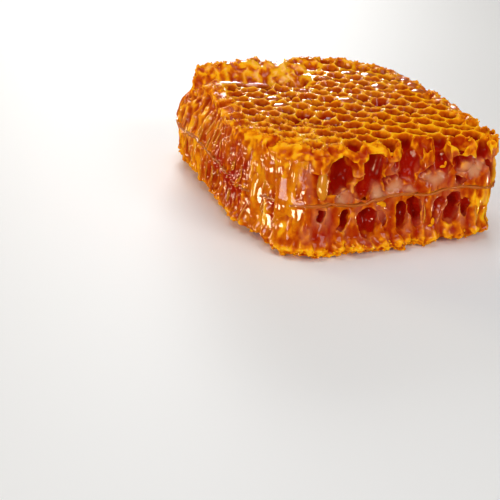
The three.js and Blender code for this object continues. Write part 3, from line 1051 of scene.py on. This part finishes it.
def buildCrumbs(upper, lower):
    # flakes of wax that cling to the crests and the foot
    draw = random.Random(91)
    flake = added(bpy.ops.mesh.primitive_ico_sphere_add, subdivisions=2, radius=1)
    x, y, z = upper.T
    onCrest = z > top + faceHeight(x, y) - 0.5
    foot = readMap("inside", lower[:, 0], lower[:, 1]) < 1.5
    choices = [(upper[onCrest & (readMap("inside", x, y) < 4)], crumbs["rim"]),
               (upper[onCrest], crumbs["face"]),
               (upper[onCrest & (toCorner(x, y) < 22)], crumbs["corner"]),
               (lower[foot & (lower[:, 2] < 3.2)], crumbs["fringe"])]
    matrices = []
    for spots, count in choices:
        for _ in range(count):
            place = Vector(spots[draw.randrange(len(spots))])
            size = draw.uniform(*crumbs["size"])
            spin = Matrix.Rotation(draw.uniform(0, 6.3), 4, (draw.random(), draw.random(), 1))
            matrices.append(placing(place, (size, size * draw.uniform(0.5, 1), size * 0.5), spin))
    crest = upper[onCrest]
    for x, y, size in crumbs["beads"]:
        matrices.append(placing(nearest(crest, x, y), (size, size, size * 0.85)))
    for x, height, wide, tall in crumbs["flakes"]:
        y = -float(sideSwell(np.array(x), np.array(0.0), np.array(height / top))) - 0.2
        matrices.append(placing((x, y, height), (wide, 0.3, tall)))
    flakes = copiesOf(flake, "waxCrumbs", matrices)
    spots = pointsOf(flakes)
    spots += 0.08 * bent(spots, 0.3, (92, 93, 94))
    spots[:, 2] = np.maximum(spots[:, 2], 0)
    movePoints(flakes, spots)
    paintPoints(flakes, soak=np.clip(0.12 + 0.12 * lumps(spots, 1.0, 95), 0, 1), wet=0.4)
    print("crumbs:", len(matrices))
    return flakes


def fromScreen(red, green, blue):
    # a colour as a screen shows it, for a shader
    return tuple(((value / 255 + 0.055) / 1.055) ** 2.4 if value > 10 else value / 3295
                 for value in (red, green, blue)) + (1,)


def fill(tree, node, values):
    # sets a node's inputs, or links them where the value is an output
    for name, value in values.items():
        if isinstance(value, bpy.types.NodeSocket):
            tree.links.new(value, node.inputs[name])
        else:
            node.inputs[name].default_value = value


def addNode(tree, kind, output, values={}, **settings):
    node = tree.nodes.new("ShaderNode" + kind)
    for name, value in settings.items():
        setattr(node, name, value)
    fill(tree, node, values)
    return node.outputs[output]


def newMaterial(name, values):
    material = bpy.data.materials.new(name)
    material.use_nodes = True
    fill(material.node_tree, material.node_tree.nodes["Principled BSDF"], values)
    return material


waxLook = {
    "colours": [  # from a dry crest to the depth of the honey; the light end also serves as painted glow, the dark end as painted shade
        (0.00, (250, 178, 22)), (0.14, (236, 142, 10)), (0.32, (204, 94, 6)),
        (0.52, (180, 62, 5)), (0.75, (166, 34, 4)), (1.00, (163, 18, 3)),
    ],
    "mottle": 0.34,
    "mottleScale": 900,
    # pale tan of the honey film, partly a painted reflection of soft light
    "film": (205, 139, 98),
    "grainScale": 1500,
    "grainDepth": 0.0003,
    "surface": {
        "Roughness": 0.3,
        "Specular IOR Level": 0.0,  # only the wet coat shines
        "Coat Roughness": 0.05,
        "Coat IOR": 1.4,
        "Subsurface Weight": 0.35,
        "Subsurface Radius": (1.0, 0.45, 0.12),
        "Subsurface Scale": 1.3 * mm,
        "Emission Strength": 0.10,  # light that comes through the comb from behind
    },
}


def waxMaterial():
    material = newMaterial("combWax", waxLook["surface"])
    tree = material.node_tree
    # the soak attribute carries painted glow and painted shade as well as the honey's colour
    soak, film, wet = (addNode(tree, "Attribute", "Fac", attribute_name=name)
                       for name in ("soak", "film", "wet"))
    where = addNode(tree, "TexCoord", "Object")
    mottle = addNode(tree, "TexNoise", "Fac",
                     {"Vector": where, "Scale": waxLook["mottleScale"], "Detail": 3})
    mottle = addNode(tree, "Math", "Value", {0: mottle, 1: waxLook["mottle"], 2: -waxLook["mottle"] / 2},
                     operation="MULTIPLY_ADD")
    soak = addNode(tree, "Math", "Value", {0: soak, 1: mottle}, operation="ADD")
    ramp = addNode(tree, "ValToRGB", "Color", {"Fac": soak})
    elements = ramp.node.color_ramp.elements
    while len(elements) < len(waxLook["colours"]):
        elements.new(0.5)
    for element, (place, colour) in zip(elements, waxLook["colours"]):
        element.position = place
        element.color = fromScreen(*colour)
    colour = addNode(tree, "Mix", "Result", {"Factor": film, "A": ramp,
                                             "B": fromScreen(*waxLook["film"])}, data_type="RGBA")
    drawn = addNode(tree, "Mapping", "Vector", {"Vector": where, "Scale": (1, 1, 0.3)})
    grain = addNode(tree, "TexNoise", "Fac",
                    {"Vector": drawn, "Scale": waxLook["grainScale"], "Detail": 3})
    bump = addNode(tree, "Bump", "Normal",
                   {"Height": grain, "Strength": 0.4, "Distance": waxLook["grainDepth"]})
    fill(tree, tree.nodes["Principled BSDF"],
         {"Base Color": colour, "Emission Color": colour, "Coat Weight": wet, "Normal": bump})
    return material


midribLook = {
    "Base Color": fromScreen(196, 104, 34),
    "Roughness": 0.3,
    "Specular IOR Level": 0.15,
    "Coat Weight": 0.5,
    "Coat Roughness": 0.06,
    "Subsurface Weight": 0.3,
    "Subsurface Radius": (1.0, 0.45, 0.12),
    "Subsurface Scale": 1.0 * mm,
}

honeyLook = {
    "Specular IOR Level": 0.5,
    "Specular Tint": (1, 0.7, 0.4, 1),
    "Coat Weight": 0.9,
    "Coat Roughness": 0.05,
    "Subsurface Weight": 0.3,
    "Subsurface Radius": (1.0, 0.3, 0.06),
    "Subsurface Scale": 1.5 * mm,
}


def honeyMaterial(name, colour, roughness=0.2):
    return newMaterial(name, {"Base Color": fromScreen(*colour), "Roughness": roughness, **honeyLook})


warm, white = (1, 0.82, 0.52), (1, 1, 1)

studio = {
    "eye": (-127.7, -335.2, 141.7),  # from the frame's origin, millimetres
    "azimuth": math.radians(17.6),  # the view turns from the back to the right
    "pitch": math.radians(24),
    "roll": math.radians(2.5),
    "lens": 100.8,
    "floorSize": 3.0,
    "floorColour": (0.9, 0.9, 0.9, 1),
    "sky": 0.13,
    "mirroredSky": 0.02,  # the sky is dimmer where the wet wax mirrors it
    "aim": (0, 0, 0.014),
    "lights": [  # name, place, size, power and colour
        ("backBox", (0.15, 0.78, 0.27), (0.34, 0.16), 5, white),
        ("backLeftBox", (-0.5, 0.62, 0.17), (0.26, 0.2), 2.4, warm),
        ("leftBox", (-0.6, -0.6, 0.16), (0.34, 0.24), 2.5, white),
        ("frontBox", (0.3, -0.55, 0.45), (0.34, 0.3), 1.8, white),
        ("topBox", (-0.05, 0.1, 0.8), (0.5, 0.5), 2.7, white),
        # cards under the floor, which only the wet sides mirror
        ("leftCard", (-0.86, -0.03, -0.27), (0.22, 0.18), 4.8, warm),
        ("backLeftCard", (-0.62, 0.55, -0.3), (0.12, 0.12), 0.8, warm),
        ("cornerCard", (-0.57, -0.57, -0.27), (0.14, 0.26), 6.2, warm),
        ("rightCard", (0.8, -0.12, -0.27), (0.07, 0.2), 2.4, warm),
    ],
}


def addCamera():
    turn, down, roll = studio["azimuth"], studio["pitch"], studio["roll"]
    ahead = Vector((math.sin(turn) * math.cos(down), math.cos(turn) * math.cos(down), -math.sin(down)))
    right = Vector((math.cos(turn), -math.sin(turn), 0))
    up = right.cross(ahead)
    rolledRight = right * math.cos(roll) + up * math.sin(roll)
    rolledUp = up * math.cos(roll) - right * math.sin(roll)
    camera = added(bpy.ops.object.camera_add, "camera")
    camera.data.lens = studio["lens"]
    camera.data.clip_end = 20
    axes = Matrix((rolledRight, rolledUp, -ahead)).transposed().to_4x4()
    camera.matrix_world = Matrix.Translation(Vector(studio["eye"]) * mm) @ axes
    bpy.context.scene.camera = camera


def addSoftbox(name, place, size, power, colour):
    ahead = Vector(studio["aim"]) - Vector(place)
    light = added(bpy.ops.object.light_add, name, type="AREA", location=place,
                  rotation=ahead.to_track_quat("-Z", "Y").to_euler())
    light.data.shape = "RECTANGLE"
    light.data.size, light.data.size_y = size
    light.data.energy = power
    light.data.color = colour
    return light


def addStage():
    floor = added(bpy.ops.mesh.primitive_plane_add, "floor", size=studio["floorSize"])
    floor.data.materials.append(
        newMaterial("paleFloor", {"Base Color": studio["floorColour"], "Roughness": 0.6}))
    floor.visible_glossy = False  # the wet wax would turn pink from the floor's white
    world = bpy.data.worlds.new("studio")
    bpy.context.scene.world = world
    world.use_nodes = True
    tree = world.node_tree
    ray = addNode(tree, "LightPath", "Is Glossy Ray")
    sky = addNode(tree, "Math", "Value", {0: ray, 1: studio["mirroredSky"] - studio["sky"],
                                          2: studio["sky"]}, operation="MULTIPLY_ADD")
    fill(tree, tree.nodes["Background"], {"Color": (1, 1, 1, 1), "Strength": sky})
    boxes = [addSoftbox(*light) for light in studio["lights"]]
    boxes[0].visible_diffuse = False  # it only glints
    bpy.context.scene.view_settings.view_transform = "Standard"
    bpy.context.scene.view_settings.exposure = 0


addCamera()
print("camera is set")
wax = waxMaterial()

upperWax = buildWax("upper", 7)
upperSpots = pointsOf(upperWax)
toMetres(upperWax, wax)
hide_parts("upper_cells")

lowerWax = buildWax("lower", 23)
lowerSpots = pointsOf(lowerWax)
toMetres(lowerWax, wax)
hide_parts("lower_cells")

midribSheet = buildMidrib()
toMetres(midribSheet, newMaterial("midribWax", midribLook))
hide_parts("midrib")

honeyFilms = buildFilms("honeyFilms", cutFilms, 41)
toMetres(honeyFilms, honeyMaterial("filmHoney", (184, 100, 48), 0.34))

smears = buildFilms("honeySmears", smearFilms, 61)
paintPoints(smears, soak=0.26 + 0.16 * lumps(pointsOf(smears), (2.2, 2.2, 6), 65), wet=1)
toMetres(smears, wax)

flakes = buildCrumbs(upperSpots, lowerSpots)
toMetres(flakes, wax)

strings = buildDrips()
toMetres(strings, honeyMaterial("goldenHoney", (226, 140, 24)))

pools = buildTopPools()
toMetres(pools, honeyMaterial("thinHoney", (200, 92, 10)))

addStage()
print("stage is set")
